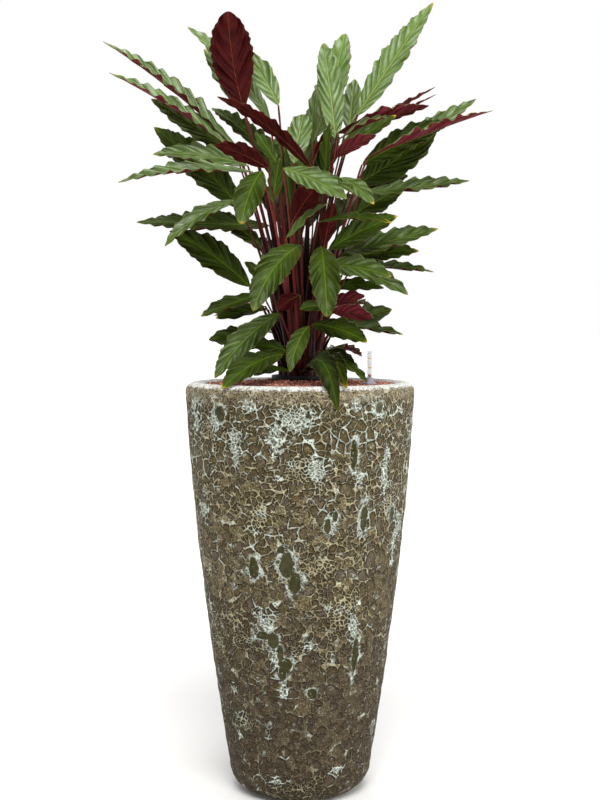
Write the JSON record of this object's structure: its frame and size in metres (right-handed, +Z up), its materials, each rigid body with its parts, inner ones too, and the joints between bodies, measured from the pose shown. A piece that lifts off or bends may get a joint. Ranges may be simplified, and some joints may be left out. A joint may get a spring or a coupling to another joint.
{
  "type": "potted calathea",
  "caption": "Bushy calathea with long wavy-edged leaves in a tall round tapered planter filled with lava granules, with a water-level gauge.",
  "frame": {"origin": "centre of the planter's flat base, on the floor", "axes": "+Z up along the planter's axis; -Y is the front, which the picture shows; +X is to the right seen from the front, where the gauge stands"},
  "size_m": [0.6313, 0.4396, 1.3184],
  "materials": {
    "glaze": "matte",
    "lava": "matte",
    "black_plastic": "satin",
    "soil": "matte",
    "clear_plastic": "gloss",
    "lilac_plastic": "satin",
    "red_plastic": "gloss",
    "foliage": "satin"
  },
  "bodies": {
    "pot_and_plant": {"planter": "glaze", "lava_fill": "lava", "nursery_pot": "black_plastic", "potting_soil": "soil", "gauge_tube": "clear_plastic", "gauge_collar": "lilac_plastic", "shoot_01": "foliage", "shoot_02": "foliage", "shoot_03": "foliage", "shoot_04": "foliage", "shoot_05": "foliage", "shoot_06": "foliage", "shoot_07": "foliage", "shoot_08": "foliage", "shoot_09": "foliage", "shoot_10": "foliage", "shoot_11": "foliage", "shoot_12": "foliage"},
    "float": {"gauge_float": "red_plastic"}
  },
  "joints": [
    {"name": "float_rise", "type": "slide", "parent": "pot_and_plant", "child": "float", "axis": [0, 0, 1], "range_m": [0, 0.031]}
  ]
}
